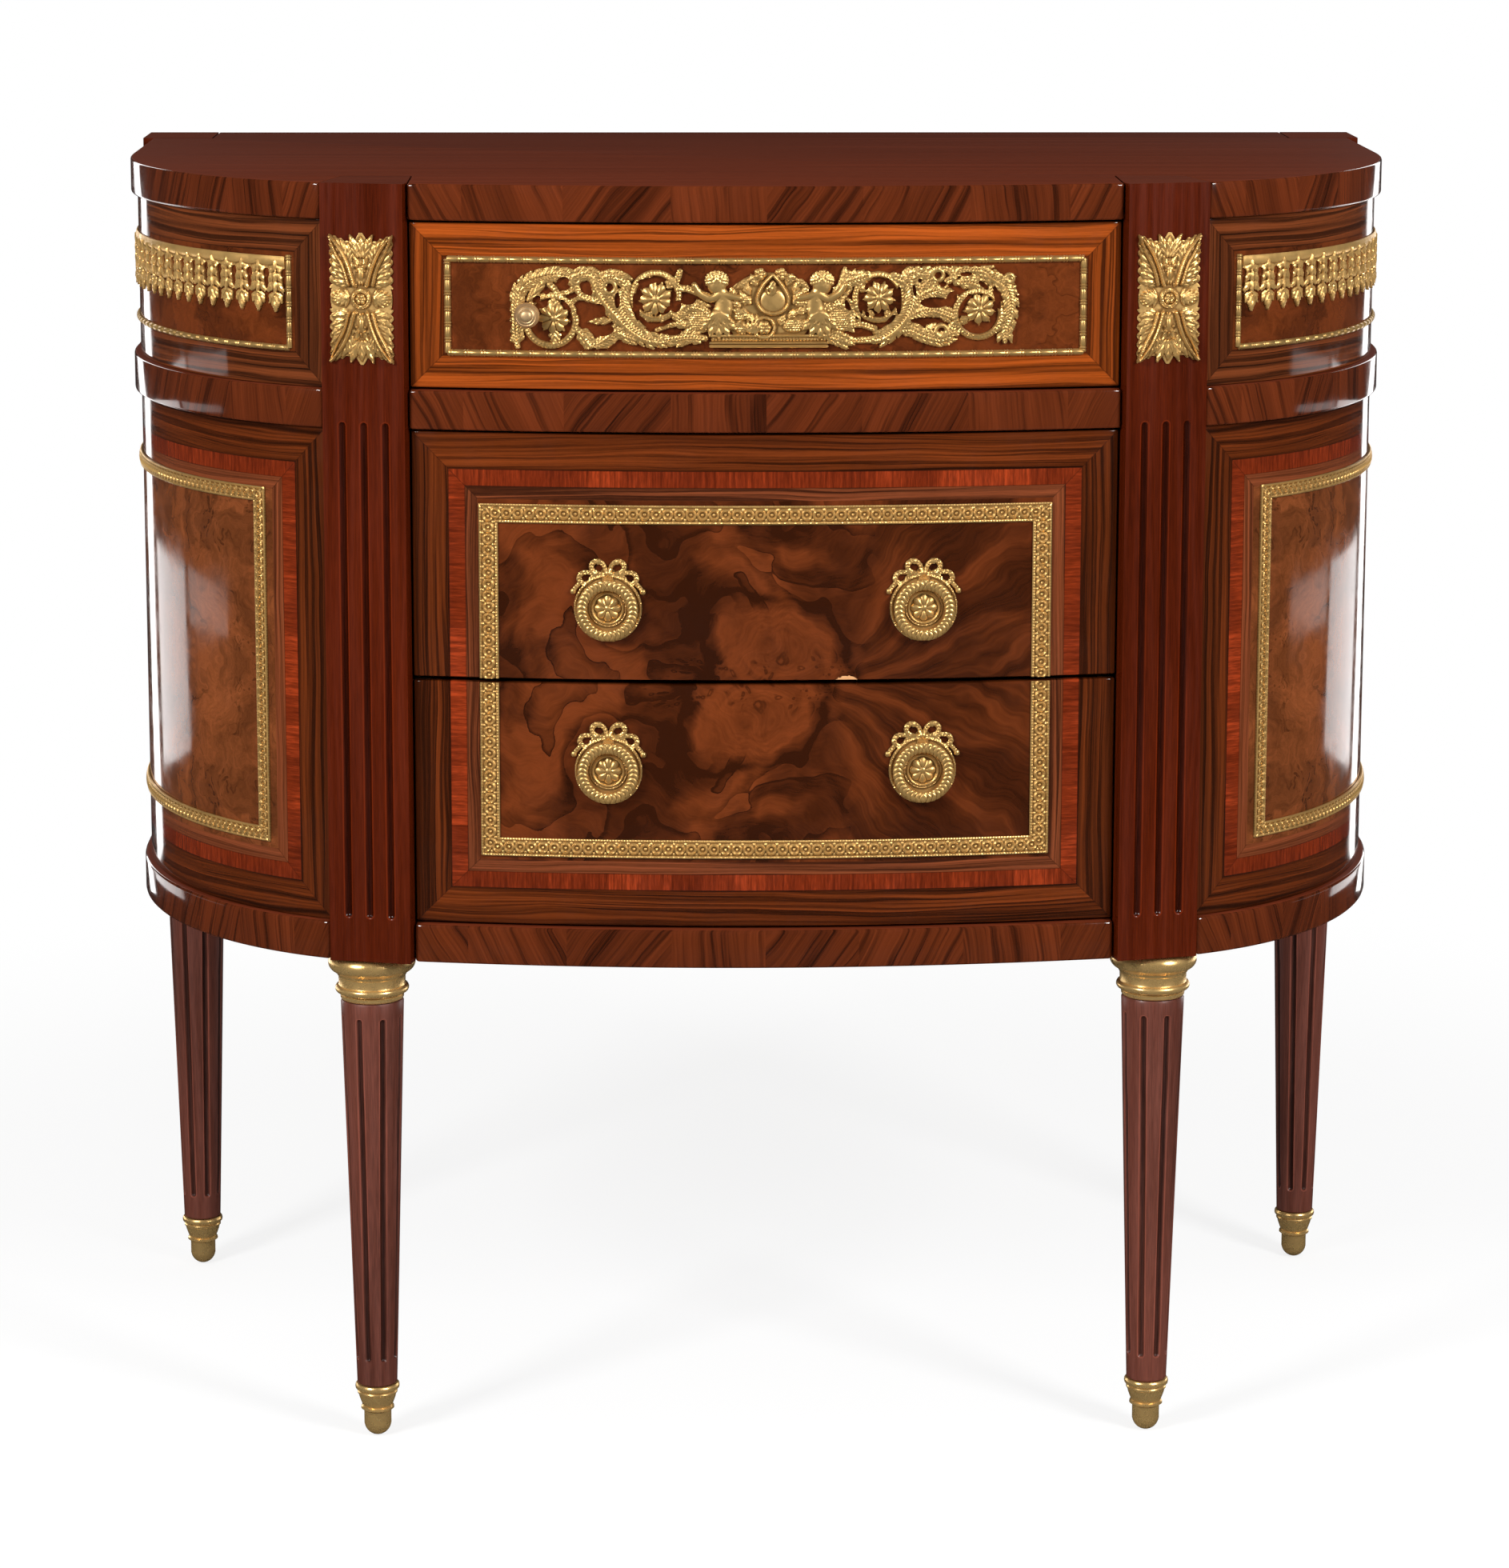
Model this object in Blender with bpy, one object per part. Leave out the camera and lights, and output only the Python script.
"""Half-moon chest of drawers: a bowed front and curved ends between square posts, on turned legs.

Lengths are metres. Plan points are (x, depth), where depth runs back from the middle of the bowed front.
Everything hangs from an empty called case, which centres the piece over the origin.
"""

import math

import bmesh
import bpy
from mathutils import Matrix, Vector

# Heights of the case, from the floor up
leg_height = 0.343
base_thickness = 0.0265
lower_opening = 0.334
waist_thickness = 0.026
frieze_opening = 0.1115
top_thickness = 0.024

# Plan of the case
opening_half_width = 0.2342
band_half_width = 0.4385
case_depth = 0.460
bow_sagitta = 0.0218
side_curve_centre = 0.213
side_widest_depth = 0.270
side_setback = 0.0045
side_thickness = 0.014
bow_facets = 14
side_facets = 29

# Posts
post_face = 0.0561
post_angle = math.radians(13.6)
post_proud = 0.006
post_return = 0.0115
post_depth = 0.064
band_behind_post = 0.0012
stile_proud = 0.007
stile_thickness = 0.050
stile_corner_radius = 0.005
flute_radius = 0.002
flute_spacing = 0.0148
flute_foot_height = 0.030
flute_length = 0.335

# Clearances
gap = 0.0003
overrun = 0.005
drawer_clearance = 0.0012
drawer_reveal = 0.0015

# Inner boards
partition_thickness = 0.016
ledge_width = 0.0135
ledge_height = 0.012
back_thickness = 0.008
back_recess = 0.0025

# Drawers
drawer_setback = 0.004
drawer_front_edge = 0.0165
drawer_side_thickness = 0.010
drawer_back_room = 0.063
drawer_head_room = 0.014
drawer_bottom_thickness = 0.005
drawer_bottom_lift = 0.006
groove_depth = 0.004

# Legs with their brass collars and sabots
leg_shift = 0.0083
leg_set_back = 0.0300
leg_top_radius = 0.0214
leg_foot_radius = 0.0137
leg_neck_radius = 0.016
leg_tenon_radius = 0.009
leg_flutes = 8
leg_flute_depth = 0.0022
leg_flute_width = 0.0042
leg_flute_head = 0.0105
leg_flute_tail = 0.018
collar_radius = 0.0296
collar_height = 0.0325
sabot_radius = 0.0152
sabot_height = 0.0375
sabot_floor = 0.008
ball_radius = 0.010
round_sides = 16

# Gilt mounts
mount_thickness = 0.0008
leaf_mount_width = 0.044
leaf_mount_height = 0.086
leaf_mount_relief = 0.0048
leaf_rosette_radius = 0.0055
leaf_mount_drop = 0.0755
side_frame_start = 0.050
side_frame_end = 0.050
side_frame_width = 0.0098
side_frame_drop = 0.0435
side_frame_lift = 0.0485
frame_thickness = 0.0032
drawer_frame_side_margin = 0.0437
drawer_frame_width = 0.0137
drawer_frame_margin = 0.0475
bead_side_margin = 0.0227
bead_width = 0.005
bead_thickness = 0.003
bead_margin = 0.0225
pendant_drop = 0.0262
pendant_rail = 0.007
pendant_length = 0.0305
pendant_thickness = 0.003
scroll_mount_centre = 0.0545
scroll_scale = 0.001
scroll_width_share = 0.00429

# Knob of the frieze drawer
knob_side_share = 0.66309
knob_height = 0.0515
knob_radius = 0.0084
knob_stem_radius = 0.0030
knob_reach = 0.019

# Ring pulls
pull_side_share = 0.44635
upper_pull_rise = 0.0503
lower_pull_drop = 0.0592
plate_radius = 0.0225
plate_thickness = 0.0020
plate_rim_height = 0.0030
boss_radius = 0.0088
boss_height = 0.0050
bow_loop_radius = 0.0030
bow_ribbon_width = 0.0030
bow_end_radius = 0.0019
ring_radius = 0.0169
ring_half_width = 0.0037
ring_half_thickness = 0.0019
ring_drop = 0.0181
pivot_rise = 0.0172
pivot_standoff = 0.0047
pin_radius = 0.0009
lug_size = 0.0048
lug_width = 0.0050
lug_wall = 0.0011

# Worked out from the sizes above
base_top = leg_height + base_thickness
waist_bottom = base_top + lower_opening
waist_top = waist_bottom + waist_thickness
top_bottom = waist_top + frieze_opening
case_height = top_bottom + top_thickness
drawer_pitch = lower_opening / 2

post_inner_x = opening_half_width + post_return * math.sin(post_angle)
post_inner_depth = bow_sagitta - post_proud
post_outer_x = post_inner_x + post_face * math.cos(post_angle)
post_outer_depth = post_inner_depth + post_face * math.sin(post_angle)
post_back_depth = post_inner_depth + post_depth
stile_outer_x = band_half_width + stile_proud
stile_inner_x = stile_outer_x - stile_thickness
stile_front_depth = case_depth - post_face

bow_radius = (post_inner_x**2 + bow_sagitta**2) / (2 * bow_sagitta)
side_reach_x = band_half_width - side_curve_centre
side_start_depth = post_outer_depth + band_behind_post
side_reach_depth = (side_widest_depth - side_start_depth) / math.sqrt(
    1 - ((post_outer_x - side_curve_centre) / side_reach_x) ** 2
)
back_front_depth = case_depth - back_recess - back_thickness

drawer_half_width = opening_half_width - drawer_clearance
drawer_frame_half_width = opening_half_width - drawer_frame_side_margin
bead_half_width = opening_half_width - bead_side_margin
drawer_inner_half_width = drawer_half_width - drawer_side_thickness
knob_side = knob_side_share * drawer_half_width
pull_side = pull_side_share * drawer_half_width
scroll_stretch = scroll_width_share * drawer_half_width / scroll_scale
knob_turn = -math.asin(knob_side / (bow_radius - drawer_setback))


def bow_depth(x, setback=0.0):
    """Depth of the bowed front at x, on an arc set back from the boards' edge."""
    return bow_radius - math.sqrt((bow_radius - setback) ** 2 - x**2)


front_reach = (knob_reach + gap) * math.cos(knob_turn) - bow_depth(knob_side, drawer_setback)
front_y = (front_reach - case_depth) / 2


def material(name, colour, roughness, metallic):
    made = bpy.data.materials.new(name)
    made.use_nodes = True
    made.diffuse_color = (*colour, 1)
    shader = made.node_tree.nodes["Principled BSDF"]
    shader.inputs["Base Color"].default_value = (*colour, 1)
    shader.inputs["Roughness"].default_value = roughness
    shader.inputs["Metallic"].default_value = metallic
    return made


class Path:
    """A faceted line in plan, on which pieces are laid by distance along it and distance out from it."""

    def __init__(self, points):
        self.points = [Vector(point) for point in points]
        self.stations = [0.0]
        for before, after in zip(self.points, self.points[1:]):
            self.stations.append(self.stations[-1] + (after - before).length)
        self.length = self.stations[-1]

    def mitre(self, index):
        """The outward offset at a corner for one unit out, so that facets stay parallel."""
        ends = [max(index - 1, 0), min(index + 1, len(self.points) - 1)]
        before = (self.points[index] - self.points[ends[0]]) if index else None
        after = (self.points[ends[1]] - self.points[index]) if index != ends[1] else None
        legs = [leg.normalized() for leg in (before, after) if leg is not None]
        normals = [Vector((leg.y, -leg.x)) for leg in legs]
        middle = sum(normals, Vector((0, 0))).normalized()
        return middle / middle.dot(normals[0])

    def point(self, distance, out=0.0):
        index = 0
        while index < len(self.points) - 2 and distance > self.stations[index + 1]:
            index += 1
        span = self.stations[index + 1] - self.stations[index]
        share = (distance - self.stations[index]) / span
        start = self.points[index] + self.mitre(index) * out
        end = self.points[index + 1] + self.mitre(index + 1) * out
        return start.lerp(end, share)

    def breaks(self, start, end):
        """The distances of the corners strictly between start and end."""
        return [station for station in self.stations if start < station < end]


def resampled(points, count):
    """The same line, cut into count facets of equal length."""
    dense = Path(points)
    return [dense.point(dense.length * index / count) for index in range(count + 1)]


def side_line():
    """The outer edge of the boards, from the front post round to the rear post, right-hand side."""
    start = math.asin((post_outer_x - side_curve_centre) / side_reach_x)
    samples = 200
    turn = [start + (math.pi / 2 - start) * index / samples for index in range(samples + 1)]
    curve = [
        (side_curve_centre + side_reach_x * math.sin(a), side_widest_depth - side_reach_depth * math.cos(a))
        for a in turn
    ]
    return resampled([*curve, (band_half_width, stile_front_depth)], side_facets)


def bow_line(half_width, setback):
    """The bowed front from left to right."""
    half_turn = math.asin(half_width / (bow_radius - setback))
    turns = [half_turn * (2 * index / bow_facets - 1) for index in range(bow_facets + 1)]
    radius = bow_radius - setback
    return [(radius * math.sin(a), bow_radius - radius * math.cos(a)) for a in turns]


side_path = Path(side_line())
drawer_path = Path(bow_line(drawer_half_width, drawer_setback))


def mesh_of(bm, name):
    """The bmesh as a mesh with its faces turned outwards."""
    bmesh.ops.recalc_face_normals(bm, faces=bm.faces)
    mesh = bpy.data.meshes.new(name)
    bm.to_mesh(mesh)
    bm.free()
    return mesh


def prism(points, low, high):
    """A plan outline raised from low to high."""
    bm = bmesh.new()
    face = bm.faces.new([bm.verts.new((x, depth, low)) for x, depth in points])
    raised = bmesh.ops.extrude_face_region(bm, geom=[face])["geom"]
    tops = [item for item in raised if isinstance(item, bmesh.types.BMVert)]
    bmesh.ops.translate(bm, vec=(0, 0, high - low), verts=tops)
    return bm


def box(low, high):
    outline = [(low[0], low[1]), (high[0], low[1]), (high[0], high[1]), (low[0], high[1])]
    return prism(outline, low[2], high[2])


def profile_along_depth(points, front, back):
    """An (x, z) outline run from front to back."""
    bm = prism(points, front, back)
    swap = Matrix(((1, 0, 0, 0), (0, 0, 1, 0), (0, 1, 0, 0), (0, 0, 0, 1)))
    bmesh.ops.transform(bm, matrix=swap, verts=bm.verts)
    return bm


def turned(profile, sides):
    """A profile of (radius, height) points spun round Z; its ends lie on the axis, or it closes on itself."""
    bm = bmesh.new()
    points = [bm.verts.new((radius, 0, height)) for radius, height in profile]
    closed = profile[0][0] > 0
    pairs = list(zip(points, points[1:] + points[:1])) if closed else list(zip(points, points[1:]))
    edges = [bm.edges.new(pair) for pair in pairs]
    bmesh.ops.spin(
        bm, geom=points + edges, cent=(0, 0, 0), axis=(0, 0, 1), angle=math.tau, steps=sides, use_merge=True
    )
    bmesh.ops.remove_doubles(bm, verts=bm.verts, dist=gap / 100)
    return bm


def facing_front(bm):
    """Turns a shape made round Z so that its top faces the front."""
    bmesh.ops.rotate(bm, cent=(0, 0, 0), matrix=Matrix.Rotation(math.pi / 2, 3, "X"), verts=bm.verts)
    return bm


def moved(bm, x=0.0, depth=0.0, z=0.0):
    bmesh.ops.translate(bm, vec=(x, depth, z), verts=bm.verts)
    return bm


def mirrored(bm, side):
    """The shape for the right-hand side, or its mirror image for the left."""
    bmesh.ops.scale(bm, vec=(side, 1, 1), verts=bm.verts)
    return bm


def loft(rings, closed=False):
    """A skin over rings of equally many points, capped at both ends unless it closes on itself."""
    bm = bmesh.new()
    rows = [[bm.verts.new(point) for point in ring] for ring in rings]
    pairs = list(zip(rows, rows[1:] + rows[:1])) if closed else list(zip(rows, rows[1:]))
    for lower, upper in pairs:
        for index in range(len(lower)):
            after = (index + 1) % len(lower)
            bm.faces.new((lower[index], lower[after], upper[after], upper[index]))
    if not closed:
        bm.faces.new(rows[0][::-1])
        bm.faces.new(rows[-1])
    return bm


def lattice(columns, rows, kept, place):
    """A plate of square cells with some left out; place(column, row, layer) gives each corner."""
    bm = bmesh.new()
    corners = {}

    def corner(column, row, layer):
        key = (column, row, layer)
        if key not in corners:
            corners[key] = bm.verts.new(place(*key))
        return corners[key]

    cells = {(i, j) for i in range(columns) for j in range(rows) if kept(i, j)}
    for i, j in sorted(cells):
        square = [(i, j), (i + 1, j), (i + 1, j + 1), (i, j + 1)]
        bm.faces.new([corner(a, b, 1) for a, b in square])
        bm.faces.new([corner(a, b, 0) for a, b in square[::-1]])
        beyond = [(i, j - 1), (i + 1, j), (i, j + 1), (i - 1, j)]
        for edge, neighbour in enumerate(beyond):
            if neighbour not in cells:
                (a, b), (c, d) = square[edge], square[(edge + 1) % 4]
                bm.faces.new((corner(a, b, 0), corner(c, d, 0), corner(c, d, 1), corner(a, b, 1)))
    return bm


def grown(points, margin):
    """A convex outline moved out by margin on every side."""
    count = len(points)
    middle = sum((Vector(point) for point in points), Vector((0, 0))) / count
    lines = []
    for index in range(count):
        start, end = Vector(points[index]), Vector(points[(index + 1) % count])
        along = (end - start).normalized()
        out = Vector((along.y, -along.x))
        if out.dot(start - middle) < 0:
            out = -out
        lines.append((start + out * margin, along))
    result = []
    for index in range(count):
        (a, along_a), (b, along_b) = lines[index - 1], lines[index]
        cross = along_a.x * along_b.y - along_a.y * along_b.x
        reach = ((b - a).x * along_b.y - (b - a).y * along_b.x) / cross
        result.append(tuple(a + along_a * reach))
    return result


def add(name, bm, finish, parent, at=(0, 0, 0), turn=0.0, smooth=False):
    """One named piece, placed from its parent."""
    obj = bpy.data.objects.new(name, mesh_of(bm, name) if isinstance(bm, bmesh.types.BMesh) else bm)
    bpy.context.scene.collection.objects.link(obj)
    obj.parent = parent
    obj.location = at
    obj.rotation_euler = (0, 0, turn)
    if not obj.data.materials:
        obj.data.materials.append(finish)
    if smooth:
        obj.data.shade_smooth()
        obj.data.set_sharp_from_angle(angle=math.radians(35))
    return obj


def helper(name, bm, parent):
    """A shape that only cuts or joins others."""
    obj = add(name, bm, wood, parent)
    obj.hide_render = True
    obj.display_type = "WIRE"
    return obj


def combine(obj, other, operation):
    modifier = obj.modifiers.new(other.name, "BOOLEAN")
    modifier.operation = operation
    modifier.object = other
    return modifier


def joined(bms):
    """Several shapes in one bmesh, still overlapping."""
    whole = bmesh.new()
    for bm in bms:
        mesh = mesh_of(bm, "shape")
        whole.from_mesh(mesh)
        bpy.data.meshes.remove(mesh)
    return whole


def fused(name, first, others):
    """One mesh from shapes that overlap, made by a Boolean union."""
    core = add(name, first, brass, None)
    rest = helper(name + "_rest", joined(others), None)
    modifier = combine(core, rest, "UNION")
    modifier.use_self = True
    bpy.context.view_layer.update()
    mesh = bpy.data.meshes.new_from_object(core.evaluated_get(bpy.context.evaluated_depsgraph_get()))
    mesh.name = name
    for obj in (core, rest):
        bpy.data.objects.remove(obj)
    return mesh


def empty(name, parent, at=(0, 0, 0)):
    obj = bpy.data.objects.new(name, None)
    bpy.context.scene.collection.objects.link(obj)
    obj.parent = parent
    obj.location = at
    return obj


for leftover in list(bpy.data.objects):
    bpy.data.objects.remove(leftover)

wood = material("mahogany", (0.16, 0.035, 0.018), 0.25, 0.0)
veneer = material("veneer", (0.22, 0.075, 0.030), 0.22, 0.0)
lining = material("drawer_lining", (0.55, 0.38, 0.22), 0.6, 0.0)
brass = material("gilt_brass", (0.75, 0.52, 0.18), 0.3, 1.0)

case = empty("case", None, (0, front_y, 0))


def into_post(point):
    """A point moved sideways into the front post, whose clearance then cuts the end of the piece."""
    return (point[0] - overrun * math.cos(post_angle), point[1] - overrun * math.sin(post_angle))


def board_outline(back_depth):
    """The half-moon outline of the top, waist and base boards; the post clearances are cut out of it."""
    front = [point for point in bow_line(post_inner_x, 0.0) if point[0] >= 0]
    side = [tuple(point) for point in side_path.points[:-1]]
    rear = [(band_half_width, stile_front_depth + overrun), (band_half_width, back_depth)]
    right = [*front, into_post(side[0]), *side, *rear]
    left = [(-x, depth) for x, depth in right[::-1] if x > 0]
    return right + left


def front_post_outline():
    cosine, sine = math.cos(post_angle), math.sin(post_angle)
    back_run = (post_back_depth - post_outer_depth) / cosine
    return [
        (post_inner_x, post_inner_depth),
        (post_outer_x, post_outer_depth),
        (post_outer_x - back_run * sine, post_back_depth),
        (opening_half_width, post_back_depth),
        (opening_half_width, post_inner_depth + post_return * cosine),
    ]


def rear_post_outline():
    turns = [math.pi / 2 * index / 4 for index in range(5)]
    corner = [
        (
            stile_outer_x - stile_corner_radius * (1 - math.cos(a)),
            case_depth - stile_corner_radius * (1 - math.sin(a)),
        )
        for a in turns
    ]
    front = [(stile_inner_x, stile_front_depth), (stile_outer_x, stile_front_depth)]
    return [*front, *corner, (stile_inner_x, case_depth)]


def post_clearances():
    """The room that the boards and side panels leave for the four posts."""
    shapes = []
    low, high = leg_height - overrun, case_height + overrun
    for outline in (front_post_outline(), rear_post_outline()):
        for side in (1, -1):
            shapes.append(mirrored(prism(grown(outline, gap), low, high), side))
    return helper("post_clearances", joined(shapes), case)


def boards(clearances):
    inner_back = back_front_depth - gap
    levels = {
        "top_board": (top_bottom, case_height, case_depth),
        "waist_board": (waist_bottom, waist_top, inner_back),
        "base_board": (leg_height, base_top, inner_back),
    }
    for name, (low, high, back_depth) in levels.items():
        board = add(name, prism(board_outline(back_depth), low, high), veneer, case)
        combine(board, clearances, "DIFFERENCE")


def side_panels(clearances):
    """The curved frieze panel and the curved lower panel at each end."""
    stations = [*side_path.stations[:-1], side_path.length + overrun]
    outer = [tuple(side_path.point(station, -side_setback)) for station in stations]
    inner = [tuple(side_path.point(station, -side_setback - side_thickness)) for station in stations]
    outline = [into_post(outer[0]), *outer, *inner[::-1], into_post(inner[0])]
    levels = {"frieze_side": (waist_top, top_bottom), "lower_side": (base_top, waist_bottom)}
    for name, (low, high) in levels.items():
        for word, side in (("left", -1), ("right", 1)):
            panel = mirrored(prism(outline, low + gap, high - gap), side)
            combine(add(f"{name}_{word}", panel, veneer, case), clearances, "DIFFERENCE")


def flute_cutter():
    """Three round-ended grooves side by side, centred on the face of a post."""
    turns = [math.tau * (2 * index + 1) / 16 for index in range(8)]
    end_shares = ((0, 0.35), (1, 1), (-1, 1), (0, 0.35))
    foot, head = flute_foot_height, flute_foot_height + flute_length
    heights = (foot, foot, head, head)
    grooves = []
    for place in (-1, 0, 1):
        rings = []
        for (rise, size_share), height in zip(end_shares, heights):
            reach, level = size_share * flute_radius, height + rise * flute_radius
            middle = place * flute_spacing
            rings.append([(middle + reach * math.cos(a), reach * math.sin(a), level) for a in turns])
        grooves.append(loft(rings))
    return joined(grooves)


def leg_ring(radius, height, flute_depth=0.0):
    """One level of a leg: for each flute its two edges and its bottom."""
    points = []
    half_turn = leg_flute_width / (2 * leg_top_radius)
    for index in range(leg_flutes):
        middle = math.tau * (2 * index + 1) / (2 * leg_flutes)
        for turn, reach in ((-half_turn, radius), (0, radius - flute_depth), (half_turn, radius)):
            points.append((reach * math.cos(middle + turn), reach * math.sin(middle + turn), height))
    return points


def leg_shape():
    """The turned and fluted leg, with its neck in the collar and its tenon in the sabot."""
    shoulder = leg_height - collar_height - gap
    foot = sabot_height + gap
    taper = (leg_top_radius - leg_foot_radius) / (shoulder - foot)

    def radius_at(height):
        return leg_foot_radius + taper * (height - foot)

    head = leg_height - collar_height - leg_flute_head
    tail = sabot_height + leg_flute_tail
    tail_depth = leg_flute_depth * leg_foot_radius / leg_top_radius
    return loft(
        [
            leg_ring(leg_tenon_radius, sabot_floor + gap),
            leg_ring(leg_tenon_radius, foot),
            leg_ring(leg_foot_radius, foot),
            leg_ring(radius_at(tail), tail),
            leg_ring(radius_at(tail + leg_flute_depth), tail + leg_flute_depth, tail_depth),
            leg_ring(radius_at(head - leg_flute_depth), head - leg_flute_depth, leg_flute_depth),
            leg_ring(radius_at(head), head),
            leg_ring(leg_top_radius, shoulder),
            leg_ring(leg_neck_radius, shoulder),
            leg_ring(leg_neck_radius, leg_height + overrun),
        ]
    )


def collar_shape():
    """A brass collar of a fat ring, a cove and a small bead, bored for the neck of the leg."""
    bore = leg_neck_radius + gap
    shares = (
        (0.88, 1.00),
        (0.98, 0.90),
        (1.00, 0.76),
        (0.90, 0.61),
        (0.79, 0.55),
        (0.78, 0.33),
        (0.85, 0.27),
        (0.85, 0.16),
        (0.76, 0.10),
        (0.74, 0.00),
    )
    room = collar_height - gap
    profile = [(bore, room)] + [(collar_radius * across, room * up) for across, up in shares] + [(bore, 0)]
    return turned([(radius, leg_height - collar_height + height) for radius, height in profile], round_sides)


def sabot_shape():
    """A brass sabot: a ring above a tapered cup on a flattened ball."""
    bore = leg_tenon_radius + gap
    shares = ((0.90, 1.00), (1.00, 0.96), (1.00, 0.86), (0.86, 0.82), (0.74, 0.34), (0.60, 0.30))
    cup = [(sabot_radius * across, sabot_height * up) for across, up in shares]
    ball_shares = ((1, 1), (0.9, 0.33), (0.55, 0))
    ball = [(ball_radius * across, ball_radius * up) for across, up in ball_shares]
    return turned(
        [(0, sabot_floor), (bore, sabot_floor), (bore, sabot_height), *cup, *ball, (0, 0)], round_sides
    )


def leg_places():
    """Each leg's name, side, plan point, post outline, and the middle and turn of the post's outer face."""
    cosine, sine = math.cos(post_angle), math.sin(post_angle)
    middle = (post_inner_x + post_face / 2 * cosine, post_inner_depth + post_face / 2 * sine)
    front_leg = (
        middle[0] + leg_shift * cosine - leg_set_back * sine,
        middle[1] + leg_shift * sine + leg_set_back * cosine,
    )
    rear_leg = (stile_outer_x - stile_thickness / 2, case_depth - collar_radius - gap)
    rear_middle = (stile_outer_x, case_depth - post_face / 2)
    for word, side in (("left", -1), ("right", 1)):
        yield "front", word, side, front_leg, front_post_outline(), middle, post_angle
        yield "rear", word, side, rear_leg, rear_post_outline(), rear_middle, math.pi / 2


def posts_and_legs():
    """Each post is one piece with its leg, and carries a collar, a sabot and a leaf mount."""
    leaf = leaf_mount_mesh()
    for end, word, side, (x, depth), outline, middle, turn in leg_places():
        shape = mirrored(prism(outline, leg_height, case_height), side)
        post = add(f"{end}_post_leg_{word}", shape, wood, case)
        face = (side * middle[0], middle[1])
        flutes = helper(f"{end}_flutes_{word}", flute_cutter(), case)
        flutes.location = (*face, leg_height)
        flutes.rotation_euler = (0, 0, side * turn)
        combine(post, flutes, "DIFFERENCE")
        combine(post, helper(f"{end}_leg_turning_{word}", moved(leg_shape(), side * x, depth), case), "UNION")
        add(f"{end}_leg_collar_{word}", collar_shape(), brass, case, (side * x, depth, 0), smooth=True)
        add(f"{end}_leg_sabot_{word}", sabot_shape(), brass, case, (side * x, depth, 0), smooth=True)
        out = (gap * math.sin(side * turn), -gap * math.cos(side * turn))
        place = (face[0] + out[0], face[1] + out[1], case_height - leaf_mount_drop)
        add(f"{end}_post_mount_{word}", leaf, brass, case, place, side * turn)


def leaf_mount_mesh():
    """An upright rectangle of acanthus leaves spreading from a rosette in the middle."""
    across, up = 6, 10
    half_width, half_height = leaf_mount_width / 2, leaf_mount_height / 2
    edge = [(half_width, half_height * (2 * i / up - 1)) for i in range(up)]
    edge += [(half_width * (1 - 2 * i / across), half_height) for i in range(across)]
    edge += [(-x, -z) for x, z in edge]
    notch_share, dip_share = 0.86, 0.75
    leaf_shares = ((0.62, 0.62), (0.24, 0.50))
    rosette_shares = ((1.0, 0.80), (0.45, 1.0))
    levels = [(1, 0), (1, mount_thickness), *((size, rise * leaf_mount_relief) for size, rise in leaf_shares)]
    rings = []
    for size, rise in levels:
        ring = []
        for index, (x, z) in enumerate(edge):
            reach = size * (notch_share if index % 2 else 1)
            ring.append((x * reach, -rise * (dip_share if index % 2 else 1), z * reach))
        rings.append(ring)
    turns = [math.atan2(z, x) for x, z in edge]
    for size, rise in rosette_shares:
        radius, height = leaf_rosette_radius * size, leaf_mount_relief * rise
        rings.append([(radius * math.cos(a), -height, radius * math.sin(a)) for a in turns])
    return mesh_of(loft(rings), "leaf_mount")


def on_side(side, distance, out, z):
    point = side_path.point(distance, out - side_setback)
    return (side * point.x, point.y, z)


def side_frames():
    """The flat gilt frame laid round each lower side panel."""
    start, end = side_frame_start, side_path.length - side_frame_end
    inner_start, inner_end = start + side_frame_width, end - side_frame_width
    places = [start, inner_start, *side_path.breaks(inner_start, inner_end), inner_end, end]
    places = sorted({*places, *side_path.breaks(start, inner_start), *side_path.breaks(inner_end, end)})
    low, high = base_top + side_frame_lift, waist_bottom - side_frame_drop
    levels = [low, low + side_frame_width, high - side_frame_width, high]
    outs = (gap, frame_thickness)

    def kept(column, row):
        return row != 1 or places[column + 1] <= inner_start or places[column] >= inner_end

    for word, side in (("left", -1), ("right", 1)):
        frame = lattice(
            len(places) - 1, 3, kept, lambda i, j, layer: on_side(side, places[i], outs[layer], levels[j])
        )
        add(f"lower_side_frame_{word}", frame, brass, case)


def side_pendants():
    """A rail with a leafy pendant hanging below it on each facet of the frieze side."""
    first, last = 2, side_facets - 2
    facet = side_path.length / side_facets
    edge_shares = (0, 0.13, 0.87)
    places = [(facet * (first + index), share) for index in range(last - first) for share in edge_shares]
    places.append((facet * last, 0))
    high = top_bottom - pendant_drop
    neck = high - pendant_rail
    drop_shares = (1, 0.72, 0.3, 0)
    levels = [*(neck - pendant_length * share for share in drop_shares), high]
    width_shares = (0.35, 1, 0.72, 1, 1)
    out_shares = (0.6, 1, 0.8, 0.9, 0.6)

    def kept(column, row):
        return row == 3 or column % 3 == 1

    def place_for(side):
        def place(i, j, layer):
            start, share = places[i]
            spread = (1 + (2 * share - 1) * width_shares[j]) / 2 if share else 0
            out = pendant_thickness * out_shares[j] if layer else gap
            return on_side(side, start + facet * spread, out, levels[j])

        return place

    for word, side in (("left", -1), ("right", 1)):
        pendants = lattice(len(places) - 1, len(levels) - 1, kept, place_for(side))
        add(f"frieze_side_pendants_{word}", pendants, brass, case)


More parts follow.
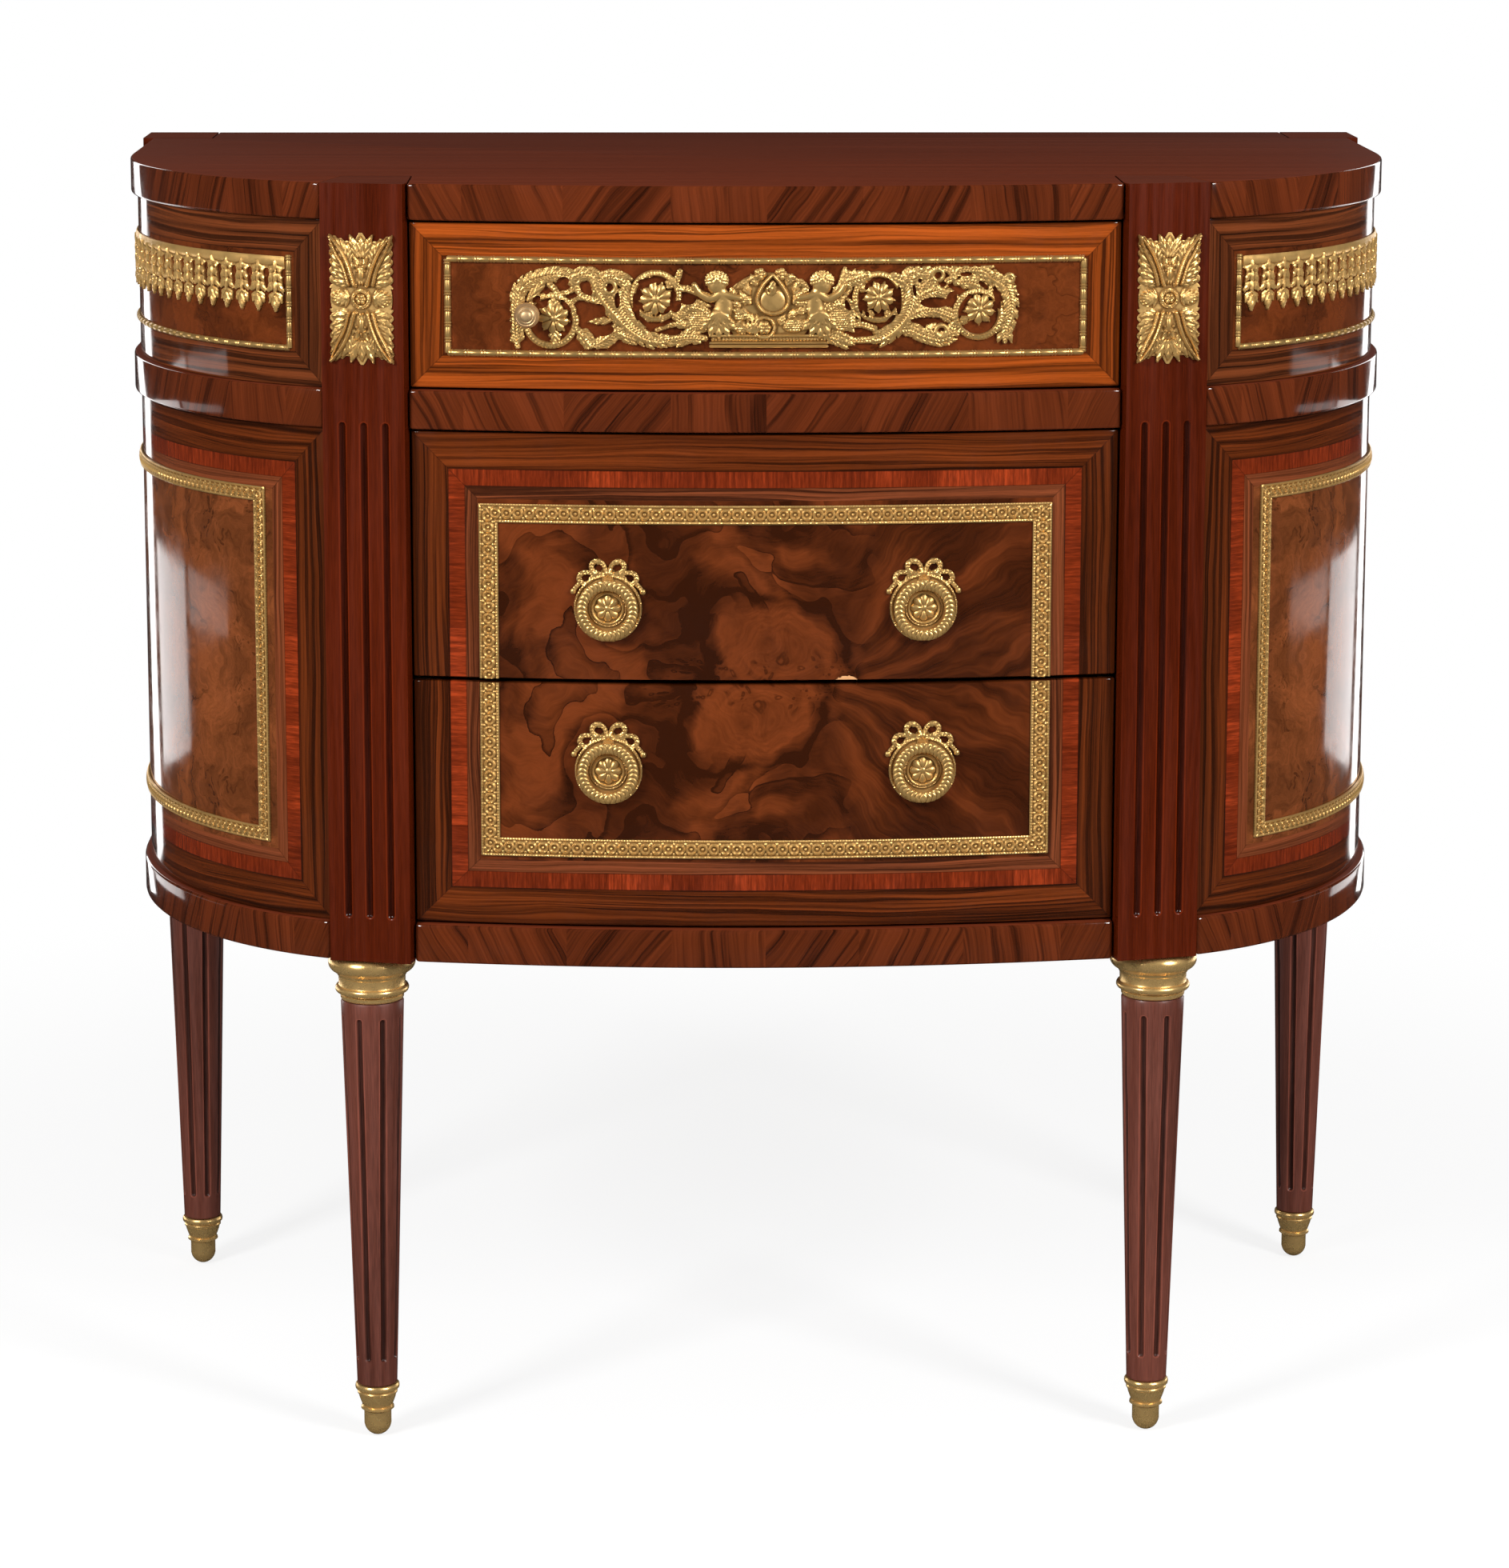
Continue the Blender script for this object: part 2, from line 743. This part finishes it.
def inner_boards():
    """The back, the lower partitions with the ledge that carries the upper drawer, and the frieze guides."""
    half_width = stile_inner_x - gap
    far_corner = (half_width, back_front_depth + back_thickness, top_bottom - gap)
    back = box((-half_width, back_front_depth, leg_height), far_corner)
    add("back_panel", back, lining, case)
    front, back_end = post_back_depth + gap, back_front_depth - gap
    near, far = opening_half_width, opening_half_width + partition_thickness
    ledge_top = base_top + drawer_pitch
    for word, side in (("left", -1), ("right", 1)):
        outline = [
            (near, base_top + gap),
            (far, base_top + gap),
            (far, waist_bottom - gap),
            (near, waist_bottom - gap),
            (near, ledge_top),
            (near - ledge_width, ledge_top),
            (near - ledge_width, ledge_top - ledge_height),
            (near, ledge_top - ledge_height),
        ]
        partition = mirrored(profile_along_depth(outline, front, back_end), side)
        add(f"drawer_partition_{word}", partition, lining, case)
        guide = box((near, front, waist_top + gap), (far, back_end, top_bottom - gap))
        add(f"frieze_drawer_guide_{word}", mirrored(guide, side), lining, case)


def drawer(name, floor, opening):
    """A drawer of five boards, hung from an empty on the floor of its opening."""
    slide = empty(name + "_slide", case, (0, 0, floor))
    edge_depth = bow_depth(drawer_half_width, drawer_setback) + drawer_front_edge
    face = [*(tuple(point) for point in drawer_path.points)]
    outline = [*face, (drawer_half_width, edge_depth), (-drawer_half_width, edge_depth)]
    add(name + "_front", prism(outline, drawer_reveal, opening - drawer_reveal), veneer, slide)
    side_top = opening - drawer_head_room
    start, end = edge_depth + gap, back_front_depth - drawer_back_room
    outer, inner = drawer_half_width, drawer_inner_half_width
    bottom_low = drawer_bottom_lift
    bottom_high = drawer_bottom_lift + drawer_bottom_thickness
    groove = inner + groove_depth
    for word, side in (("left", -1), ("right", 1)):
        section = [
            (inner, gap),
            (outer, gap),
            (outer, side_top),
            (inner, side_top),
            (inner, bottom_high + gap),
            (groove, bottom_high + gap),
            (groove, bottom_low - gap),
            (inner, bottom_low - gap),
        ]
        add(f"{name}_side_{word}", mirrored(profile_along_depth(section, start, end), side), lining, slide)
    half_bottom = groove - gap
    bottom = box((-half_bottom, start, bottom_low), (half_bottom, end, bottom_high))
    add(name + "_bottom", bottom, lining, slide)
    half_back = inner - gap
    back = box((-half_back, end - drawer_side_thickness, bottom_high + gap), (half_back, end, side_top))
    add(name + "_back", back, lining, slide)
    return slide


def on_drawer(x, out, z):
    """A point in front of a drawer face, by its distance from the middle along the bow."""
    point = drawer_path.point(drawer_path.length / 2 + x, out)
    return (point.x, point.y, z)


def drawer_strip(half_width, width, levels, kept_row, thickness):
    """A frame laid on the bowed face: both uprights, and the rows that kept_row names across."""
    middle = drawer_path.length / 2
    inner = half_width - width
    breaks = [station - middle for station in drawer_path.stations]
    places = sorted({-half_width, -inner, inner, half_width, *(x for x in breaks if abs(x) < half_width)})

    def kept(column, row):
        upright = places[column + 1] <= -inner or places[column] >= inner
        return upright or row == kept_row or (kept_row is None and row != 1)

    return lattice(
        len(places) - 1,
        len(levels) - 1,
        kept,
        lambda i, j, layer: on_drawer(places[i], thickness if layer else gap, levels[j]),
    )


def dome(x, z, radius, height, sides=12):
    """A low boss standing on the back plane of a mount."""
    shares = ((0, 0), (1, 0), (0.92, 0.6), (0.5, 1), (0, 1))
    return moved(facing_front(turned([(radius * a, height * b) for a, b in shares], sides)), x, 0, z)


def ridge(points, half_widths, height, closed=False):
    """A strip with sloping sides that follows points on the back plane of a mount."""
    rings = []
    count = len(points)
    for index, (x, z) in enumerate(points):
        before = points[index - 1] if index or closed else points[0]
        after = points[(index + 1) % count] if index < count - 1 or closed else points[-1]
        along = Vector((after[0] - before[0], after[1] - before[1])).normalized()
        across = Vector((along.y, -along.x)) * half_widths[index]
        shares = ((-1, 0), (-0.55, 1), (0.55, 1), (1, 0))
        rings.append([(x + across.x * a, -height * b, z + across.y * a) for a, b in shares])
    return loft(rings, closed)


def hoop(x, z, radius, half_width, height, sides=14):
    turns = [math.tau * index / sides for index in range(sides)]
    points = [(x + radius * math.cos(a), z + radius * math.sin(a)) for a in turns]
    return ridge(points, [half_width] * sides, height, closed=True)


def scroll_mount_mesh():
    """The pierced mount: scrolling stems with rosettes either side of a shield on a plinth."""
    unit = scroll_scale

    def scaled(points):
        return [(x * unit, z * unit) for x, z in points]

    shapes = []
    for side in (-1, 1):
        stem = [(36, -15), (52, -20), (72, -19), (90, -12), (102, 2), (112, 18), (124, 25), (136, 20)]
        crest = [(132, 20), (146, 24), (157, 19), (162, 6), (163, -8), (160, -24)]
        lower = [(94, -10), (108, -9), (118, -18), (104, -22), (92, -17)]
        upper = [(86, 24), (96, 19), (106, 13)]
        branch = [(100, -2), (112, 0), (124, -4)]
        figure = [(30, 4), (36, 10), (42, 4), (42, -8), (36, -16)]
        arm = [(38, 12), (48, 11), (56, 18)]
        for points, widths in (
            (stem, (2.0, 3.0, 3.4, 3.6, 3.6, 3.4, 3.0, 1.6)),
            (crest, (2.0, 3.2, 3.6, 3.4, 2.8, 1.4)),
            (lower, (1.6, 2.2, 2.6, 2.6, 1.6)),
            (upper, (1.6, 3.0, 2.4)),
            (branch, (2.0, 2.4, 1.6)),
            (figure, (3.0, 5.0, 5.5, 5.0, 4.0)),
            (arm, (2.4, 2.0, 1.6)),
        ):
            line = scaled([(side * x, z) for x, z in points])
            shapes.append(ridge(line, [width * unit for width in widths], 4.0 * unit))
        hoops = ((140, -6.5, 15.5, 2.3, 4.4), (72.5, 8, 17.0, 2.2, 4.6), (50, -8, 6, 2.4, 4.2))
        for x, z, radius, width, height in hoops:
            shapes.append(hoop(side * x * unit, z * unit, radius * unit, width * unit, height * unit))
        for x, z, radius in ((139, -5, 10.5), (72.5, 8, 10.0)):
            shapes.append(dome(side * x * unit, z * unit, radius * unit, 4.8 * unit))
            spoke = scaled([(side * (x - 14), z - 6), (side * x, z), (side * (x + 14), z + 6)])
            shapes.append(ridge(spoke, [1.5 * unit] * 3, 3.0 * unit))
        shapes.append(dome(side * 41 * unit, 19 * unit, 6.4 * unit, 6.0 * unit))
    shield = [(-24, -17), (-27, 2), (-22, 16), (-9, 21), (0, 28), (9, 21), (22, 16), (27, 2), (24, -17)]
    outline = scaled([(x, z) for x, z in shield])
    body = prism(outline, 0.0, 4.2 * unit)
    shapes.append(facing_front(body))
    shapes.append(dome(4 * unit, 8 * unit, 10.5 * unit, 6.0 * unit, 16))
    plinth = box((-36 * unit, -5.5 * unit, -24 * unit), (36 * unit, 0.0, -14 * unit))
    mesh = fused("scroll_mount", plinth, shapes)
    hole = bmesh.new()
    hole.from_mesh(mesh)
    bpy.data.meshes.remove(mesh)
    middle = drawer_path.length / 2
    for station in drawer_path.stations[1:-1]:
        geometry = [*hole.verts, *hole.edges, *hole.faces]
        bmesh.ops.bisect_plane(
            hole,
            geom=geometry,
            dist=gap / 1000,
            plane_co=((station - middle) / scroll_stretch, 0, 0),
            plane_no=(1, 0, 0),
        )
    for vertex in hole.verts:
        vertex.co = on_drawer(vertex.co.x * scroll_stretch, gap - vertex.co.y, vertex.co.z)
    return hole


def frieze_drawer():
    slide = drawer("frieze_drawer", waist_top, frieze_opening)
    low, high = bead_margin, frieze_opening - bead_margin
    levels = [low, low + bead_width, high - bead_width, high]
    bead = drawer_strip(bead_half_width, bead_width, levels, None, bead_thickness)
    add("frieze_drawer_bead", bead, brass, slide)
    scroll = add("frieze_drawer_scroll_mount", scroll_mount_mesh(), brass, slide, (0, 0, scroll_mount_centre))
    face = (-knob_side, bow_depth(knob_side, drawer_setback), knob_height)
    drill = facing_front(turned(disc_profile(knob_stem_radius + 2 * gap, knob_reach), 12))
    hole = helper("knob_hole", drill, slide)
    hole.location = face
    hole.rotation_euler = (0, 0, knob_turn)
    combine(scroll, hole, "DIFFERENCE")
    place = (face[0] + gap * math.sin(knob_turn), face[1] - gap * math.cos(knob_turn), face[2])
    knob = facing_front(turned(knob_profile(), 14))
    add("frieze_drawer_knob", knob, brass, slide, place, knob_turn, smooth=True)


def disc_profile(radius, height):
    return [(0, -height), (radius, -height), (radius, height), (0, height)]


def knob_profile():
    neck = knob_reach - knob_radius
    head_shares = ((0.8, 0), (1, 0.35), (0.85, 0.7), (0.35, 1), (0, 1))
    head = [(knob_radius * across, neck + knob_radius * out) for across, out in head_shares]
    return [(0, 0), (knob_stem_radius, 0), (knob_stem_radius, neck), *head]


def pull_plate_mesh():
    """The plate behind a ring: a dished disc with a rosette, a ribbon bow above it and the lug."""
    rim_shares = ((0, 0), (1, 0), (1, 1), (0.92, 1), (0.88, plate_thickness / plate_rim_height))
    boss_shares = ((1, plate_thickness / boss_height), (0.9, 0.83), (0.4, 1), (0, 1))
    profile = [(plate_radius * across, plate_rim_height * out) for across, out in rim_shares]
    profile += [(boss_radius * across, boss_height * out) for across, out in boss_shares]
    disc = facing_front(turned(profile, 20))
    loop_shares = ((0.28, 1.17), (0.60, 0.80))
    end_share = (1.02, 0.45)
    ribbon_shares = ((0, 1, 0.10), (0.45, 0.96, 0.085), (0.80, 0.68, 0.067), (1, 0.46, 0.05))
    shapes = []
    for side in (-1, 1):
        for across, up in loop_shares:
            place = (side * across * plate_radius, up * plate_radius)
            shapes.append(hoop(*place, bow_loop_radius, bow_ribbon_width / 2, plate_rim_height, 8))
        place = (side * end_share[0] * plate_radius, end_share[1] * plate_radius)
        shapes.append(dome(*place, bow_end_radius, plate_rim_height, 6))
        line = [(side * x * plate_radius, z * plate_radius) for x, z, _ in ribbon_shares]
        widths = [plate_radius * share for _, _, share in ribbon_shares]
        shapes.append(ridge(line, widths, plate_rim_height))
    shapes.append(lug_shape())
    return fused("pull_plate", disc, shapes)


def lug_shape():
    """A square staple, bored for the pin of the ring."""
    front = plate_thickness + pivot_standoff + pin_radius + gap + lug_wall
    half, hole = lug_size / 2, pin_radius + gap
    back = plate_thickness / 2
    rings = []
    low, high = pivot_rise - half, pivot_rise + half
    for x in (-lug_width / 2, lug_width / 2):
        rings.append([(x, -back, low), (x, -front, low), (x, -front, high), (x, -back, high)])
    middle = plate_thickness + pivot_standoff
    inner_rings = []
    for x in (-lug_width / 2, lug_width / 2):
        inner_rings.append(
            [
                (x, -middle + hole, pivot_rise - hole),
                (x, -middle - hole, pivot_rise - hole),
                (x, -middle - hole, pivot_rise + hole),
                (x, -middle + hole, pivot_rise + hole),
            ]
        )
    return loft([rings[0], rings[1], inner_rings[1], inner_rings[0]], closed=True)


def ring_mesh():
    """A wreath ring, open at the top for the lug; the pin that joins its ends is at the origin."""
    steps = 18
    opening = math.asin((lug_width / 2 + 2 * gap) / ring_radius)
    turns = [opening + (math.tau - 2 * opening) * index / steps for index in range(steps + 1)]
    section = ((1, 0), (0.5, 1), (-0.5, 1), (-1, 0), (-0.5, -1), (0.5, -1))
    rings = []
    for a in turns:
        ring = []
        for across, through in section:
            radius = ring_radius + across * ring_half_width
            out = through * ring_half_thickness
            ring.append((radius * math.sin(a), out, radius * math.cos(a) - ring_drop))
        rings.append(ring)
    half_pin = lug_width / 2 + 4 * gap
    pin_turns = [math.tau * index / 8 for index in range(8)]
    pin = loft(
        [
            [(x, pin_radius * math.cos(a), pin_radius * math.sin(a)) for a in pin_turns]
            for x in (-half_pin, half_pin)
        ]
    )
    return fused("pull_ring", loft(rings), [pin])


def lower_drawers():
    plate, ring = pull_plate_mesh(), ring_mesh()
    low, high = base_top + drawer_frame_margin - gap, waist_bottom - drawer_frame_margin
    middle = base_top + drawer_pitch
    for name, floor, pull_z in (
        ("lower_drawer", base_top, middle - lower_pull_drop),
        ("upper_drawer", middle, middle + upper_pull_rise),
    ):
        slide = drawer(name, floor, drawer_pitch)
        top_edge = drawer_pitch - drawer_reveal
        if name == "upper_drawer":
            levels = [drawer_reveal, high - floor - drawer_frame_width, high - floor]
            row = 1
        else:
            levels = [low - floor, low - floor + drawer_frame_width, top_edge]
            row = 0
        frame = drawer_strip(drawer_frame_half_width, drawer_frame_width, levels, row, frame_thickness)
        add(name + "_frame", frame, brass, slide)
        for word, side in (("left", -1), ("right", 1)):
            turn = side * math.asin(pull_side / (bow_radius - drawer_setback))
            out = Vector((math.sin(turn), -math.cos(turn), 0))
            face = Vector((side * pull_side, bow_depth(pull_side, drawer_setback), pull_z - floor))
            add(f"{name}_pull_plate_{word}", plate, brass, slide, face + out * gap, turn, smooth=True)
            pivot = face + out * (gap + plate_thickness + pivot_standoff) + Vector((0, 0, pivot_rise))
            add(f"{name}_pull_ring_{word}", ring, brass, slide, pivot, turn, smooth=True)


def build():
    clearances = post_clearances()
    boards(clearances)
    side_panels(clearances)
    posts_and_legs()
    inner_boards()
    side_frames()
    side_pendants()
    frieze_drawer()
    lower_drawers()


build()
